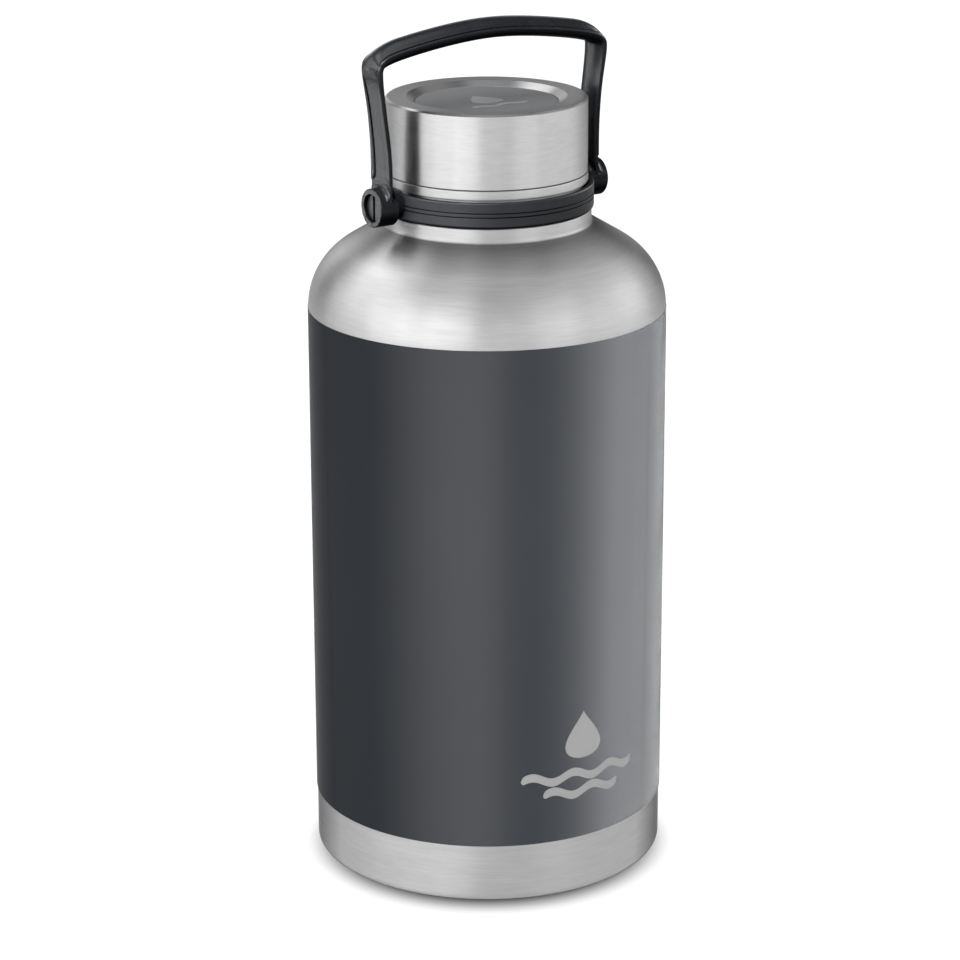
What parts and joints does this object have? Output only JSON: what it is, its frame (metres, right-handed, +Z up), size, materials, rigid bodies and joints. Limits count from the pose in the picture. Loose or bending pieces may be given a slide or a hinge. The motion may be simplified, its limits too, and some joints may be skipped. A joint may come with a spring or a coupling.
{
  "type": "growler",
  "caption": "Vacuum-insulated steel growler with a swinging bail handle on a neck collar and a screw lid.",
  "frame": {"origin": "centre of the foot, on the plane the bottle stands on", "axes": "+Z up along the bottle's axis, X along the handle's pivot axis, -Y the front that carries the printed mark"},
  "size_m": [0.125, 0.125, 0.2998],
  "materials": {
    "steel_body": "brushed stainless, horizontal grain",
    "steel_lid": "brushed stainless, turned grain",
    "steel_inner": "electropolished stainless",
    "coat": "slate grey satin powder coat",
    "print": "light grey pad print",
    "black_plastic": "fine spark-eroded black nylon",
    "grip_plastic": "soft-touch black overmould",
    "screw_black": "black coated steel",
    "brass": "turned brass",
    "washer_plastic": "black acetal",
    "disc_grey": "satin grey anodised disc",
    "plug_plastic": "black food-grade polypropylene",
    "silicone": "dark grey silicone",
    "foam": "white insulating foam",
    "copper": "copper foil",
    "getter": "sintered grey metal",
    "braze": "braze alloy"
  },
  "bodies": {
    "bottle": {"outer_shell": "steel_body", "powder_coat": "coat", "outer_base": "steel_body", "base_plate": "steel_body", "vacuum_seal_bead": "braze", "inner_flask": "steel_inner", "inner_base": "steel_inner", "copper_wrap": "copper", "getter_bracket": "steel_inner", "getter_pellet": "getter"},
    "collar": {"collar_ring": "black_plastic", "pivot_insert_left": "brass", "pivot_insert_right": "brass", "pivot_washer_left": "washer_plastic", "pivot_washer_right": "washer_plastic", "pivot_screw_left": "screw_black", "pivot_screw_right": "screw_black"},
    "handle": {"handle_frame": "black_plastic", "handle_grip": "grip_plastic"},
    "lid_seal": {"lid_gasket": "silicone"},
    "lid": {"lid_shell": "steel_lid", "lid_disc": "disc_grey", "lid_plug": "plug_plastic", "lid_insulation": "foam", "lid_core_cover": "plug_plastic"}
  },
  "joints": [
    {"name": "collar_turn", "type": "hinge", "parent": "bottle", "child": "collar", "pos_m": [0, 0, 0.239], "axis": [0, 0, 1], "continuous": true},
    {"name": "handle_swing", "type": "hinge", "parent": "collar", "child": "handle", "pos_m": [0, 0, 0.23937], "axis": [1, 0, 0], "range_deg": [-103, 103]},
    {"name": "lid_rise", "type": "slide", "parent": "bottle", "child": "lid_seal", "axis": [0, 0, 1], "range_m": [0, 0.015]},
    {"name": "lid_turn", "type": "hinge", "parent": "lid_seal", "child": "lid", "pos_m": [0, 0, 0.247], "axis": [0, 0, 1], "range_deg": [0, 1080]}
  ],
  "couplings": [
    {"joint": "lid_rise", "follows": "lid_turn", "m_per_rad": 0.00079577}
  ]
}
